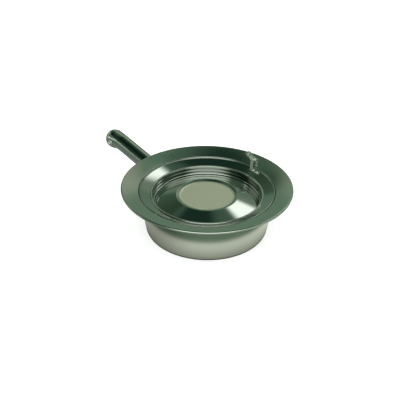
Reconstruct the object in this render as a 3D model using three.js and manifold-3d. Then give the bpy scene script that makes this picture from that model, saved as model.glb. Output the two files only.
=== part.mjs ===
// Round stainless steel pan with a hinged lid and a hollow handle. Millimetres, +Z up.
// The origin is the centre of the pan's base. The handle points along -X.
import * as THREE from "three";
import Module from "manifold-3d";
import { mergeVertices } from "three/addons/utils/BufferGeometryUtils.js";

// ---- driving dimensions -------------------------------------------------------------------
const { degToRad, lerp, smoothstep } = THREE.MathUtils;

const gap = 0.35; // clearance between sheets that rest on or are welded to each other
const sheet = 1.2; // sheet thickness of bowl, seat ring, handle and plates
const turns = 60; // facets around the pan

const baseRadius = 107; // bowl wall, projected down to the table
const wallDraft = degToRad(9.2);
const bowlHeight = 75;
const baseCorner = 9;

const panRadius = 150;
const beadRadius = 2.2;
const beadHeight = 85.5; // centre of the rolled edge
const flangeSlope = degToRad(16);
const stepRadius = 119.6; // where the flange steps down to the lid's ledge
const throatFoot = 68;

const lidRadius = 118.7;
const lidEdgeHeight = 78.97; // the sloping border, carried out to the lid's radius
const lidSheet = 1;
const lidSlope = degToRad(22.4);
const curlRadius = 1.2; // rolled edge of the lid
const valleyRadius = 99.6; // inner foot of the sloping border
const rimSpan = [96, 98.9]; // raised rim between the border and the wall
const rimHeight = 72.4;
const rimRounding = 1.4;
const troughRadius = 94.6;
const troughHeight = 55.8;
const dishRadius = 54.2;
const dishRimHeight = 68.5;
const dishFloorRadius = 46;
const dishFloorHeight = 66.2;

const handleRadius = 15.5;
const handleRise = degToRad(10.3);
const handleAxisHeight = 30.9; // where the handle's axis meets the bowl's axis
const handleLength = 290.8;
const knobRadius = 18.3;
const knobDrop = 4.7; // the rounded end hangs below the shaft's axis
const swellLength = 25.6; // from the plain shaft to the knob's centre
const seamHeight = 8.3; // the two shells meet above the handle's axis
const holeSetback = 6; // hanging hole, inward from the knob's centre
const holeRadius = 2.8;
const eyeletWall = 1;
const lipRadius = 5.4;
const lipThickness = 0.8;
const rootPlateRadius = 22;

const hingeAzimuth = degToRad(96); // a whole number of facets
const pinRadius = 1.4;
const pinHeadRadius = 2.4;
const pinHeadHeight = 1.2;
const pinReach = 128; // pin axis from the bowl's axis
const pinHeight = 89.1;
const knuckleRadius = 3.2;
const knuckleWidth = 7;
const earThickness = 1.6;
const strapSpan = [109.6, 115]; // radii of the plate on the lid's border
const strapSides = [-29.5, -6.5]; // its two ends, across the hinge's middle plane
const neckWidth = 5.6;
const neckThickness = 1.3;
const bracketSpan = [130, 145.6]; // radii of the plate on the flange
const bracketHeading = degToRad(65.4); // how its long arm slants
const bracketWidth = 11;
const earFootReach = 138.5;
const rivetRadius = 1.3;
const rivetHeadHeight = 1.1;

// ---- solids: joining and cutting ----------------------------------------------------------
const library = await Module();
library.setup();

/** A closed three.js geometry, moved by a matrix, as a manifold solid. */
function solidOf(geometry, matrix = new THREE.Matrix4()) {
  const bare = geometry.clone().applyMatrix4(matrix);
  bare.deleteAttribute("normal");
  bare.deleteAttribute("uv");
  const merged = mergeVertices(bare, 1e-4);
  const index = merged.index.array;
  const corners = [];
  for (let i = 0; i < index.length; i += 3) {
    const [a, b, c] = [index[i], index[i + 1], index[i + 2]];
    if (a !== b && b !== c && c !== a) {
      corners.push(a, b, c);
    }
  }
  return new library.Manifold(
    new library.Mesh({
      numProp: 3,
      vertProperties: new Float32Array(merged.attributes.position.array),
      triVerts: new Uint32Array(corners),
    }),
  );
}

function geometryOf(solid) {
  const mesh = solid.getMesh();
  const geometry = new THREE.BufferGeometry();
  geometry.setAttribute("position", new THREE.BufferAttribute(new Float32Array(mesh.vertProperties), 3));
  geometry.setIndex(new THREE.BufferAttribute(new Uint32Array(mesh.triVerts), 1));
  geometry.computeVertexNormals();
  return geometry;
}

// ---- outlines -----------------------------------------------------------------------------
/** An open path through [x, y, fillet radius] corners, with each fillet as a short arc. */
function filletPath(corners) {
  const path = [];
  corners.forEach(([x, y, radius = 0], i) => {
    const corner = new THREE.Vector2(x, y);
    if (radius === 0) {
      path.push(corner);
      return;
    }
    const before = new THREE.Vector2(...corners[i - 1].slice(0, 2)).sub(corner).normalize();
    const after = new THREE.Vector2(...corners[i + 1].slice(0, 2)).sub(corner).normalize();
    const halfAngle = Math.acos(before.dot(after)) / 2;
    const reach = radius / Math.tan(halfAngle);
    const centre = before.clone().add(after).normalize();
    centre.multiplyScalar(radius / Math.sin(halfAngle)).add(corner);
    const start = before.multiplyScalar(reach).add(corner).sub(centre);
    const end = after.multiplyScalar(reach).add(corner).sub(centre);
    const sweep = Math.atan2(start.cross(end), start.dot(end));
    const steps = Math.max(2, Math.ceil(Math.abs(sweep) / degToRad(30)));
    for (let k = 0; k <= steps; k++) {
      path.push(start.clone().rotateAround(new THREE.Vector2(), (sweep * k) / steps).add(centre));
    }
  });
  return path;
}

/** The path shifted sideways: a positive distance shifts it to the right of its direction. */
function offsetPath(path, distance) {
  return path.map((point, i) => {
    const inward = i > 0 ? point.clone().sub(path[i - 1]).normalize() : null;
    const outward = i < path.length - 1 ? path[i + 1].clone().sub(point).normalize() : null;
    const first = inward ?? outward;
    const second = outward ?? inward;
    const mitre = first.clone().add(second).normalize();
    const right = new THREE.Vector2(mitre.y, -mitre.x);
    return right.multiplyScalar(distance / mitre.dot(first)).add(point);
  });
}

/** Points round a rolled edge, from just after one angle to another. */
function rolledEdge(centre, radius, startAngle, endAngle, steps) {
  return Array.from({ length: steps }, (_, k) => {
    const angle = lerp(startAngle, endAngle, (k + 1) / steps);
    return new THREE.Vector2(radius * Math.cos(angle), radius * Math.sin(angle)).add(centre);
  });
}

/** The solid of revolution about Z of a closed (radius, height) outline. */
function turned(outline, facets = turns) {
  const closed = [...outline, outline[0]];
  const area = closed.slice(1).reduce((sum, point, i) => sum + closed[i].cross(point), 0);
  const ordered = area > 0 ? closed : closed.reverse();
  return new THREE.LatheGeometry(ordered, facets).rotateX(Math.PI / 2);
}

/** A side view in (x, z), extruded along y from one side to the other. */
function extrudedAcross(shape, yLow, yHigh) {
  const options = { depth: yHigh - yLow, bevelEnabled: false, curveSegments: 12 };
  return new THREE.ExtrudeGeometry(shape, options).rotateX(Math.PI / 2).translate(0, yHigh, 0);
}

function boxBetween(low, high) {
  const size = new THREE.Vector3(...high).sub(new THREE.Vector3(...low));
  const middle = new THREE.Vector3(...high).add(new THREE.Vector3(...low)).multiplyScalar(0.5);
  return new THREE.BoxGeometry(size.x, size.y, size.z).translate(middle.x, middle.y, middle.z);
}

/** Radius of the bowl's outer wall at a height. */
function wallRadius(height) {
  return baseRadius + height * Math.tan(wallDraft);
}

/** Height of the flange's upper face at a radius. */
function flangeTop(radius) {
  const tangentRadius = panRadius - beadRadius - beadRadius * Math.sin(flangeSlope);
  const tangentHeight = beadHeight + beadRadius * Math.cos(flangeSlope);
  return tangentHeight + (radius - tangentRadius) * Math.tan(flangeSlope);
}

/** Height of the lid's sloping border at a radius. */
function lidTop(radius) {
  return lidEdgeHeight - (lidRadius - radius) * Math.tan(lidSlope);
}

// ---- bowl ---------------------------------------------------------------------------------
function bowlGeometry() {
  const outside = filletPath([
    [0, 0],
    [baseRadius, 0, baseCorner],
    [wallRadius(bowlHeight), bowlHeight],
  ]);
  return turned([...outside, ...offsetPath(outside, -sheet).reverse()]);
}

// ---- seat ring: throat, ledge for the lid, sloping flange and rolled edge ------------------
function seatRingGeometry() {
  const wallStack = (2 * sheet + gap) / Math.cos(wallDraft);
  const ledgeDrop = (lidSheet + gap) / Math.cos(lidSlope);
  const ledge = (radius) => lidTop(radius) - ledgeDrop;
  const throatTop = ledge(wallRadius(bowlHeight) - wallStack);
  const flangeEnd = panRadius - beadRadius * (1 + Math.sin(flangeSlope));
  const top = filletPath([
    [wallRadius(throatFoot) - wallStack, throatFoot],
    [wallRadius(throatTop) - wallStack, throatTop, 1.2],
    [stepRadius, ledge(stepRadius), 0.4],
    [stepRadius, flangeTop(stepRadius), 0.8],
    [flangeEnd, flangeTop(flangeEnd)],
  ]);
  const under = offsetPath(top, sheet);
  under.pop();
  const beadCentre = new THREE.Vector2(panRadius - beadRadius, beadHeight);
  const beadStart = Math.PI / 2 + flangeSlope;
  const beadEnd = beadStart - 2 * Math.PI + Math.acos((beadRadius - sheet) / beadRadius);
  const bead = rolledEdge(beadCentre, beadRadius, beadStart, beadEnd, 10);
  return turned([...top, ...bead, ...under.reverse()]);
}

// ---- lid: one pressing with a rolled edge -----------------------------------------------------
function lidGeometry() {
  const curlRise = curlRadius - lidSheet; // keeps the curl level with the border's underside
  const curlReach = lidRadius - curlRadius;
  const curlCentre = new THREE.Vector2(curlReach, lidTop(curlReach) + curlRise / Math.cos(lidSlope));
  const curlStart = Math.PI + lidSlope + Math.asin(curlRise / curlRadius);
  const borderEnd = rolledEdge(curlCentre, curlRadius, 0, curlStart, 1)[0];
  const top = filletPath([
    [0, dishFloorHeight],
    [dishFloorRadius, dishFloorHeight, 6],
    [dishRadius, dishRimHeight, 1.5],
    [troughRadius, troughHeight, 2],
    [rimSpan[0], rimHeight, rimRounding],
    [rimSpan[1], rimHeight, rimRounding],
    [valleyRadius, lidTop(valleyRadius), 0.4],
    [borderEnd.x, borderEnd.y],
  ]);
  const curl = rolledEdge(curlCentre, curlRadius, curlStart, lidSlope - Math.PI / 2, 7);
  return turned([...top, ...curl, ...offsetPath(top, lidSheet).reverse()]);
}

// ---- handle: two pressed shells, root plate and hanging eyelet --------------------------------
const handleFrame = new THREE.Matrix4().compose(
  new THREE.Vector3(0, 0, handleAxisHeight),
  new THREE.Quaternion().setFromEuler(new THREE.Euler(0, handleRise, Math.PI)),
  new THREE.Vector3(1, 1, 1),
);
const toHandle = handleFrame.clone().invert();
const knobCentre = handleLength - knobRadius;
const holePlace = knobCentre - holeSetback;

/** How far the handle has swelled into its round end: 0 on the shaft, 1 at the knob. */
function swellAt(along) {
  return smoothstep(along, knobCentre - swellLength, knobCentre);
}

/** The handle's body along +X, shrunk by an inset, with its round end hanging down. */
function handleBody(inset) {
  const insideBowl = 60;
  const outline = [new THREE.Vector2(0, insideBowl), new THREE.Vector2(handleRadius - inset, insideBowl)];
  const swellSteps = 6;
  for (let k = 0; k <= swellSteps; k++) {
    const along = knobCentre - swellLength * (1 - k / swellSteps);
    outline.push(new THREE.Vector2(lerp(handleRadius, knobRadius, swellAt(along)) - inset, along));
  }
  const capSteps = 5;
  const reach = knobRadius - inset;
  for (let k = 1; k < capSteps; k++) {
    const angle = (k / capSteps) * (Math.PI / 2);
    outline.push(new THREE.Vector2(reach * Math.cos(angle), knobCentre + reach * Math.sin(angle)));
  }
  outline.push(new THREE.Vector2(0, knobCentre + reach));
  const body = new THREE.LatheGeometry(outline, 24).rotateZ(-Math.PI / 2);
  const position = body.attributes.position;
  for (let i = 0; i < position.count; i++) {
    position.setZ(i, position.getZ(i) - knobDrop * swellAt(position.getX(i)));
  }
  return solidOf(body);
}

/** Everything inside the bowl wall moved outward by a distance, in the handle's frame. */
function wallCone(distance) {
  const reach = distance / Math.cos(wallDraft);
  const [below, above] = [-40, 120];
  const outline = [
    new THREE.Vector2(0, below),
    new THREE.Vector2(wallRadius(below) + reach, below),
    new THREE.Vector2(wallRadius(above) + reach, above),
    new THREE.Vector2(0, above),
  ];
  return solidOf(turned(outline), toHandle);
}

/** A round bar across the handle, centred on the hanging hole. */
function crossBar(radius) {
  const bar = new THREE.CylinderGeometry(radius, radius, 3 * knobRadius, 20);
  return solidOf(bar.translate(holePlace, 0, -knobDrop * swellAt(holePlace)));
}

/** The upper and the lower shell, which meet at a flat seam above the handle's axis. */
function handleShells() {
  const shell = handleBody(0).subtract(handleBody(sheet));
  const holed = shell.subtract(crossBar(holeRadius + eyeletWall + gap));
  const cut = holed.subtract(wallCone(2 * gap + sheet));
  const reach = 400;
  const above = solidOf(boxBetween([0, -reach, seamHeight + gap / 2], [reach, reach, reach]));
  const below = solidOf(boxBetween([0, -reach, -reach], [reach, reach, seamHeight - gap / 2]));
  return [geometryOf(cut.intersect(above)), geometryOf(cut.intersect(below))];
}

function rootPlateGeometry() {
  const [inside, outside] = [70, 160];
  const blank = new THREE.CylinderGeometry(rootPlateRadius, rootPlateRadius, outside - inside, 32);
  blank.rotateZ(Math.PI / 2).translate((inside + outside) / 2, 0, 0);
  return geometryOf(solidOf(blank).intersect(wallCone(gap + sheet)).subtract(wallCone(gap)));
}

/** A thin tube across the handle, with a lip on each side that follows the shell. */
function eyeletGeometry() {
  const outside = handleBody(-gap - lipThickness);
  const lips = outside.subtract(handleBody(-gap)).intersect(crossBar(lipRadius));
  const tube = outside.intersect(crossBar(holeRadius + eyeletWall));
  return geometryOf(lips.add(tube).subtract(crossBar(holeRadius)));
}

// ---- hinge, in a frame whose +X runs outward through the pin --------------------------------
/** A ring of sheet that lies on a turned surface between two radii. */
function sheetRing(heightAt, [low, high]) {
  const outline = [
    new THREE.Vector2(low, heightAt(low) + gap),
    new THREE.Vector2(high, heightAt(high) + gap),
    new THREE.Vector2(high, heightAt(high) + gap + sheet),
    new THREE.Vector2(low, heightAt(low) + gap + sheet),
  ];
  return solidOf(turned(outline));
}

/** A flat bar between two points on its centre line, with its width kept parallel to y. */
function bar(from, to, width, thickness) {
  const along = to.clone().sub(from);
  const across = new THREE.Vector3(0, width, 0);
  const through = new THREE.Vector3(-along.z, 0, along.x).setLength(thickness);
  const frame = new THREE.Matrix4().makeBasis(along, across, through);
  frame.setPosition(from.clone().add(to).multiplyScalar(0.5));
  return solidOf(new THREE.BoxGeometry(1, 1, 1), frame);
}

/** A round eye about the pin; the foot's two corners, when given, are joined to the eye. */
function eyeShape(footCorners = []) {
  const shape = new THREE.Shape();
  if (footCorners.length === 0) {
    shape.absarc(pinReach, pinHeight, knuckleRadius, 0, 2 * Math.PI, false);
  } else {
    const [[firstX, firstZ], [lastX, lastZ]] = footCorners;
    const heading = Math.atan2((firstZ + lastZ) / 2 - pinHeight, (firstX + lastX) / 2 - pinReach);
    shape.moveTo(firstX, firstZ);
    shape.absarc(pinReach, pinHeight, knuckleRadius, heading + Math.PI / 2, heading + 1.5 * Math.PI, false);
    shape.lineTo(lastX, lastZ);
    shape.closePath();
  }
  const hole = new THREE.Path();
  hole.absarc(pinReach, pinHeight, pinRadius + gap, 0, 2 * Math.PI, true);
  shape.holes.push(hole);
  return shape;
}

const onLid = { heightAt: lidTop, slope: lidSlope, under: lidSheet, headRadius: 2.3 };
const onFlange = { heightAt: flangeTop, slope: flangeSlope, under: sheet, headRadius: 2.7 };
const strapRivets = [
  { ...onLid, radius: 112.3, y: -25 },
  { ...onLid, radius: 112.3, y: -15 },
];
const bracketRivets = [
  { ...onFlange, radius: 137.2, y: 12 },
  { ...onFlange, radius: 142, y: 21.5 },
];

/** The place of a rivet on a sloping sheet: its axis is square to the sheet. */
function rivetFrame({ radius, y, heightAt, slope }) {
  const x = Math.sqrt(radius * radius - y * y);
  const turn = new THREE.Euler(0, -slope, Math.atan2(y, x), "ZYX");
  return new THREE.Matrix4().compose(
    new THREE.Vector3(x, y, heightAt(radius)),
    new THREE.Quaternion().setFromEuler(turn),
    new THREE.Vector3(1, 1, 1),
  );
}

function rivetHole(rivet) {
  const bore = new THREE.CylinderGeometry(rivetRadius + gap, rivetRadius + gap, 12, 12);
  return solidOf(bore.rotateX(Math.PI / 2), rivetFrame(rivet));
}

/** A rivet through the plate and the sheet under it, with a domed head on both sides. */
function rivetGeometry(rivet) {
  const plateTop = 2 * gap + sheet;
  const sheetFoot = -rivet.under - gap;
  const shoulder = 0.7; // where the dome turns over, as a share of its radius and height
  const outline = [
    [0, sheetFoot - rivetHeadHeight],
    [rivet.headRadius * shoulder, sheetFoot - rivetHeadHeight * shoulder],
    [rivet.headRadius, sheetFoot],
    [rivetRadius, sheetFoot],
    [rivetRadius, plateTop],
    [rivet.headRadius, plateTop],
    [rivet.headRadius * shoulder, plateTop + rivetHeadHeight * shoulder],
    [0, plateTop + rivetHeadHeight],
  ].map(([radius, height]) => new THREE.Vector2(radius, height));
  return turned(outline, 12).applyMatrix4(rivetFrame(rivet));
}

function drilled(solid, rivets) {
  return rivets.reduce((rest, rivet) => rest.subtract(rivetHole(rivet)), solid);
}

/** Lid side: a plate riveted to the lid's border, a slanting neck and a knuckle. */
function strapGeometry() {
  const [start, end] = strapSides;
  const between = solidOf(boxBetween([0, start, 0], [panRadius, end, panRadius]));
  const plate = sheetRing(lidTop, strapSpan).intersect(between);
  const halfWidth = knuckleWidth / 2;
  const knuckle = solidOf(extrudedAcross(eyeShape(), -halfWidth, halfWidth));
  const neckRoot = new THREE.Vector3(111.9, end - neckWidth / 2, lidTop(112.3) + gap + sheet / 2);
  const neckTip = new THREE.Vector3(pinReach - 2.8, -0.4, pinHeight - 0.2);
  const neck = bar(neckRoot, neckTip, neckWidth, neckThickness);
  return geometryOf(drilled(plate.add(neck).add(knuckle), strapRivets));
}

/** Pan side: a slanting foot riveted to the flange and two ears that hold the pin. */
function bracketGeometry() {
  const earInside = knuckleWidth / 2 + gap;
  const earOutside = earInside + earThickness;
  const armStart = new THREE.Vector3(132.5, 3.5, 0);
  const armLength = 26;
  const earBox = boxBetween([bracketSpan[0], -earOutside, 0], [earFootReach, earOutside, panRadius]);
  const armBox = boxBetween([-2, -bracketWidth / 2, 0], [armLength, bracketWidth / 2, panRadius]);
  const arm = solidOf(armBox, new THREE.Matrix4().makeRotationZ(bracketHeading).setPosition(armStart));
  const foot = sheetRing(flangeTop, bracketSpan).intersect(solidOf(earBox).add(arm));
  const [earFront, earBack] = [131.5, 136.5];
  const earFoot = gap + sheet / 2;
  const shape = eyeShape([
    [earBack, flangeTop(earBack) + earFoot],
    [earFront, flangeTop(earFront) + earFoot],
  ]);
  const ears = [-earOutside, earInside].map((y) => solidOf(extrudedAcross(shape, y, y + earThickness)));
  return geometryOf(drilled(foot.add(ears[0]).add(ears[1]), bracketRivets));
}

/** The hinge pin with a low head outside each ear. */
function pinGeometry() {
  const neckEnd = knuckleWidth / 2 + 2 * gap + earThickness;
  const bevel = pinHeadHeight / 2;
  const head = [
    [pinRadius, neckEnd],
    [pinHeadRadius, neckEnd],
    [pinHeadRadius, neckEnd + pinHeadHeight - bevel],
    [pinHeadRadius - bevel, neckEnd + pinHeadHeight],
    [0, neckEnd + pinHeadHeight],
  ].map(([radius, along]) => new THREE.Vector2(radius, along));
  const otherHead = head.map((point) => new THREE.Vector2(point.x, -point.y)).reverse();
  return turned([...otherHead, ...head], 16).rotateX(Math.PI / 2).translate(pinReach, 0, pinHeight);
}

// ---- assembly -----------------------------------------------------------------------------
function steel(color, roughness) {
  return new THREE.MeshStandardMaterial({ color, roughness, metalness: 1 });
}

function piece(name, geometry, material) {
  const mesh = new THREE.Mesh(geometry, material);
  mesh.name = name;
  return mesh;
}

const hingeFrame = new THREE.Matrix4().makeRotationZ(hingeAzimuth);

/** A turned piece of the pan with the hinge's rivet holes drilled through it. */
function drilledPan(geometry, rivets) {
  const inHinge = solidOf(geometry, hingeFrame.clone().invert());
  return geometryOf(drilled(inHinge, rivets)).applyMatrix4(hingeFrame);
}

const pan = new THREE.Group();
pan.add(piece("bowl", bowlGeometry(), steel(0xb9bdb2, 0.38)));
pan.add(piece("seat_ring", drilledPan(seatRingGeometry(), bracketRivets), steel(0x8f9c90, 0.3)));
pan.add(piece("lid", drilledPan(lidGeometry(), strapRivets), steel(0x9aa69a, 0.28)));

const handle = new THREE.Group();
handle.applyMatrix4(handleFrame);
const [upperShell, lowerShell] = handleShells();
handle.add(piece("handle_upper_shell", upperShell, steel(0x6f7f76, 0.18)));
handle.add(piece("handle_lower_shell", lowerShell, steel(0x87938b, 0.18)));
handle.add(piece("handle_root_plate", rootPlateGeometry(), steel(0x97a198, 0.3)));
handle.add(piece("handle_eyelet", eyeletGeometry(), steel(0xc3c8c0, 0.2)));
pan.add(handle);

const hinge = new THREE.Group();
hinge.applyMatrix4(hingeFrame);
hinge.add(piece("hinge_strap", strapGeometry(), steel(0x98a69c, 0.25)));
hinge.add(piece("hinge_bracket", bracketGeometry(), steel(0xa2aca3, 0.25)));
hinge.add(piece("hinge_pin", pinGeometry(), steel(0xc9cec7, 0.15)));
strapRivets.forEach((rivet, i) => {
  hinge.add(piece(`strap_rivet_${i + 1}`, rivetGeometry(rivet), steel(0xc4cac2, 0.2)));
});
bracketRivets.forEach((rivet, i) => {
  hinge.add(piece(`bracket_rivet_${i + 1}`, rivetGeometry(rivet), steel(0xc4cac2, 0.2)));
});
pan.add(hinge);

export default pan;
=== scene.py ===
"""Looks of the lidded steel pan: turned sheets, pressed handle, hinge, brushed steel, pale studio."""
import math

import bmesh
import bpy
from mathutils import Matrix, Quaternion, Vector


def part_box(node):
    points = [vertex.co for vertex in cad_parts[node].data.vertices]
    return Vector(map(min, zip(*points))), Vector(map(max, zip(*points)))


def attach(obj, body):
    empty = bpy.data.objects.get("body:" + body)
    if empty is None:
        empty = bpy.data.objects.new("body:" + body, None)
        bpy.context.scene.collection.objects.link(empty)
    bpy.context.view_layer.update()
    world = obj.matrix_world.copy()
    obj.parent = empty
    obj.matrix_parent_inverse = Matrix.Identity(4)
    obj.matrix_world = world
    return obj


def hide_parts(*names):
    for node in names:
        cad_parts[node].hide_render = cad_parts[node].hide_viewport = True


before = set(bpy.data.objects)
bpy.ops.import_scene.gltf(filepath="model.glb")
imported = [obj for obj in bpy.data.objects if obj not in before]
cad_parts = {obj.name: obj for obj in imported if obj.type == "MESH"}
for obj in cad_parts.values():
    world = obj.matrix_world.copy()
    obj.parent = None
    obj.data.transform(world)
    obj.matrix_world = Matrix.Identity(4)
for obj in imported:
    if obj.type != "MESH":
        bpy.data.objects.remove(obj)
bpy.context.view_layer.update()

# ---- driving sizes, in metres, as in the CAD model ------------------------------------------
MM = 0.001
SHEET = 1.2 * MM
LID_SHEET = 1.0 * MM
GAP = 0.35 * MM
PAN_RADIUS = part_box("seat_ring")[1].x
BOWL_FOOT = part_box("bowl")[0].z
WALL_DRAFT = math.radians(9.2)
BASE_RADIUS = 107 * MM
BASE_CORNER = 9 * MM
BOWL_HEIGHT = 75 * MM
BEAD_RADIUS = 2.2 * MM
BEAD_HEIGHT = 85.5 * MM
FLANGE_SLOPE = math.radians(16)
STEP_RADIUS = 119.6 * MM
THROAT_FOOT = 68 * MM
THROAT_ROUNDING = 1.2 * MM
LEDGE_ROUNDING = 0.4 * MM
STEP_ROUNDING = 0.8 * MM
LID_RADIUS = 118.7 * MM
LID_EDGE_HEIGHT = 78.97 * MM
LID_SLOPE = math.radians(22.4)
CURL_RADIUS = 1.2 * MM
VALLEY_RADIUS = 99.6 * MM
VALLEY_ROUNDING = 0.4 * MM
RIM_INSIDE = 96.0 * MM
RIM_OUTSIDE = 98.9 * MM
RIM_HEIGHT = 72.4 * MM
RIM_ROUNDING = 1.4 * MM
TROUGH_RADIUS = 94.6 * MM
TROUGH_HEIGHT = 55.8 * MM
TROUGH_ROUNDING = 2 * MM
RIDGES = 2
RIDGE_DEPTH = 0.15 * MM
RIDGES_FOOT = TROUGH_HEIGHT + 2.4 * MM
RIDGES_HEAD = RIM_HEIGHT - 2.2 * MM
DISH_RADIUS = 54.2 * MM
DISH_RIM_HEIGHT = 68.5 * MM
DISH_RIM_ROUNDING = 1.5 * MM
DISH_FLOOR_RADIUS = 46 * MM
DISH_FLOOR_HEIGHT = 66.2 * MM
DISH_FLOOR_ROUNDING = 6 * MM
HANDLE_RADIUS = 15.5 * MM
HANDLE_RISE = math.radians(10.3)
HANDLE_AXIS_HEIGHT = 30.9 * MM
HANDLE_LENGTH = 290.6 * MM
KNOB_RADIUS = 18.1 * MM
KNOB_DROP = 4.7 * MM
SWELL_LENGTH = 25.6 * MM
SEAM_HEIGHT = 8.3 * MM
SEAM_HALF_GAP = 0.05 * MM
SEAM_BEAD_RADIUS = 0.9 * MM
SHAFT_START = 150 * MM
HOLE_SETBACK = 6 * MM
HOLE_RADIUS = 2.8 * MM
EYELET_WALL = 1 * MM
LIP_RADIUS = 5.4 * MM
LIP_THICKNESS = 0.8 * MM
ROOT_PLATE_RADIUS = 22 * MM
WELD_RADIUS = 1.3 * MM
WELD_RIPPLES = 48
HINGE_AZIMUTH = math.radians(96)
PIN_RADIUS = 1.4 * MM
PIN_REACH = 128 * MM
PIN_HEIGHT = 89.1 * MM
KNUCKLE_RADIUS = 3.2 * MM
KNUCKLE_WIDTH = 7 * MM
EAR_THICKNESS = 1.6 * MM
STRAP_SPAN = (109.8 * MM, 114.9 * MM)
STRAP_SIDES = (-29.3 * MM, -6.7 * MM)
STRAP_RIVETS = ((112.3 * MM, -25 * MM), (112.3 * MM, -15 * MM))
STRAP_RIVET_HEAD = 2.3 * MM
NECK_WIDTH = 5.6 * MM
NECK_THICKNESS = 1.3 * MM
BRACKET_FOOT = (130.7 * MM, 138.2 * MM)
BRACKET_HEADING = math.atan2(24, 11)
BRACKET_REACH = 24.5 * MM
BRACKET_RIVETS = ((137.2 * MM, 12 * MM), (142 * MM, 21.5 * MM))
BRACKET_RIVET_HEAD = 2.7 * MM
BRACKET_ROUNDING = 1.2 * MM
RIVET_RADIUS = 1.3 * MM
RIVET_HEAD_HEIGHT = 1.05 * MM
PIN_HEAD_RADIUS = 2.4 * MM
PIN_HEAD_HEIGHT = 1.15 * MM
FUSE_VOXEL = 0.2 * MM

FACETS = 256
SMALL_FACETS = 40
ARC_STEP = math.radians(7.5)
HINGE_FRAME = Matrix.Rotation(HINGE_AZIMUTH, 4, "Z")
HANDLE_FRAME = (
    Matrix.Translation((0, 0, HANDLE_AXIS_HEIGHT))
    @ Matrix.Rotation(HANDLE_RISE, 4, "Y")
    @ Matrix.Rotation(math.pi, 4, "Z")
)
KNOB_CENTRE = HANDLE_LENGTH - KNOB_RADIUS
HOLE_PLACE = KNOB_CENTRE - HOLE_SETBACK


def wall_radius(height):
    return BASE_RADIUS + height * math.tan(WALL_DRAFT)


def flange_top(radius):
    tangent_radius = PAN_RADIUS - BEAD_RADIUS - BEAD_RADIUS * math.sin(FLANGE_SLOPE)
    tangent_height = BEAD_HEIGHT + BEAD_RADIUS * math.cos(FLANGE_SLOPE)
    return tangent_height + (radius - tangent_radius) * math.tan(FLANGE_SLOPE)


def lid_top(radius):
    return LID_EDGE_HEIGHT - (LID_RADIUS - radius) * math.tan(LID_SLOPE)


def smoothstep(value, low, high):
    t = min(max((value - low) / (high - low), 0), 1)
    return t * t * (3 - 2 * t)


# ---- outlines in (radius, height) -----------------------------------------------------------
def rounded_path(corners):
    """An open path through (x, y, fillet radius) corners, with each fillet as a fine arc."""
    path = []
    for i, (x, y, radius) in enumerate(corners):
        corner = Vector((x, y))
        if radius == 0:
            path.append(corner)
            continue
        before = (Vector(corners[i - 1][:2]) - corner).normalized()
        after = (Vector(corners[i + 1][:2]) - corner).normalized()
        half = before.angle(after) / 2
        centre = corner + (before + after).normalized() * (radius / math.sin(half))
        start = corner + before * (radius / math.tan(half)) - centre
        end = corner + after * (radius / math.tan(half)) - centre
        sweep = math.atan2(start.x * end.y - start.y * end.x, start.dot(end))
        steps = max(3, math.ceil(abs(sweep) / ARC_STEP))
        for k in range(steps + 1):
            path.append(centre + Matrix.Rotation(sweep * k / steps, 2) @ start)
    return path


def offset_path(path, distance):
    """The path shifted sideways: a positive distance shifts it to the right of its direction."""
    shifted = []
    for i, point in enumerate(path):
        before = (point - path[i - 1]).normalized() if i > 0 else None
        after = (path[i + 1] - point).normalized() if i < len(path) - 1 else None
        first = before or after
        mitre = (first + (after or first)).normalized()
        shifted.append(point + Vector((mitre.y, -mitre.x)) * (distance / mitre.dot(first)))
    return shifted


def round_end(start, end, steps=6):
    """Points of the half circle from start to end, bulging to the right of that direction."""
    middle = (start + end) / 2
    arm = start - middle
    return [middle + Matrix.Rotation(math.pi * k / steps, 2) @ arm for k in range(1, steps)]


def rolled_edge(centre, radius, start, end):
    """Points round a rolled edge, from one angle to another."""
    steps = math.ceil(abs(end - start) / ARC_STEP)
    angles = [start + (end - start) * k / steps for k in range(steps + 1)]
    return [centre + Vector((math.cos(angle), math.sin(angle))) * radius for angle in angles]


# ---- meshes ---------------------------------------------------------------------------------
def finished(name, mesh_data, sharp=35, place=Matrix.Identity(4)):
    """A smooth-shaded object from a bmesh, with sharp edges where faces meet at a steep angle."""
    if not any(edge.is_boundary for edge in mesh_data.edges):
        bmesh.ops.recalc_face_normals(mesh_data, faces=mesh_data.faces)
    mesh = bpy.data.meshes.new(name)
    mesh_data.to_mesh(mesh)
    mesh_data.free()
    mesh.transform(place)
    mesh.shade_smooth()
    mesh.set_sharp_from_angle(angle=math.radians(sharp))
    piece = bpy.data.objects.new(name, mesh)
    bpy.context.scene.collection.objects.link(piece)
    return piece


def revolve(mesh_data, outline, facets, place=Matrix.Identity(4)):
    """Adds the solid of revolution about Z of a closed (radius, height) outline."""
    rings = []
    for radius, height in outline:
        if radius < 1e-7:
            rings.append([mesh_data.verts.new(place @ Vector((0, 0, height)))])
            continue
        angles = [2 * math.pi / facets * k for k in range(facets)]
        ring = [Vector((radius * math.cos(angle), radius * math.sin(angle), height)) for angle in angles]
        rings.append([mesh_data.verts.new(place @ point) for point in ring])
    for ring, following in zip(rings, rings[1:] + rings[:1]):
        for k in range(facets):
            corners = [ring[k % len(ring)], ring[(k + 1) % len(ring)]]
            corners += [following[(k + 1) % len(following)], following[k % len(following)]]
            unique = list(dict.fromkeys(corners))
            if len(unique) > 2:
                mesh_data.faces.new(unique)


def turned(name, outline, facets=FACETS, sharp=35, place=Matrix.Identity(4)):
    mesh_data = bmesh.new()
    revolve(mesh_data, outline, facets)
    return finished(name, mesh_data, sharp, place)


def applied(piece):
    """The piece with its modifiers made permanent."""
    depsgraph = bpy.context.evaluated_depsgraph_get()
    mesh = bpy.data.meshes.new_from_object(piece.evaluated_get(depsgraph))
    piece.modifiers.clear()
    piece.data = mesh
    return piece


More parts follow.
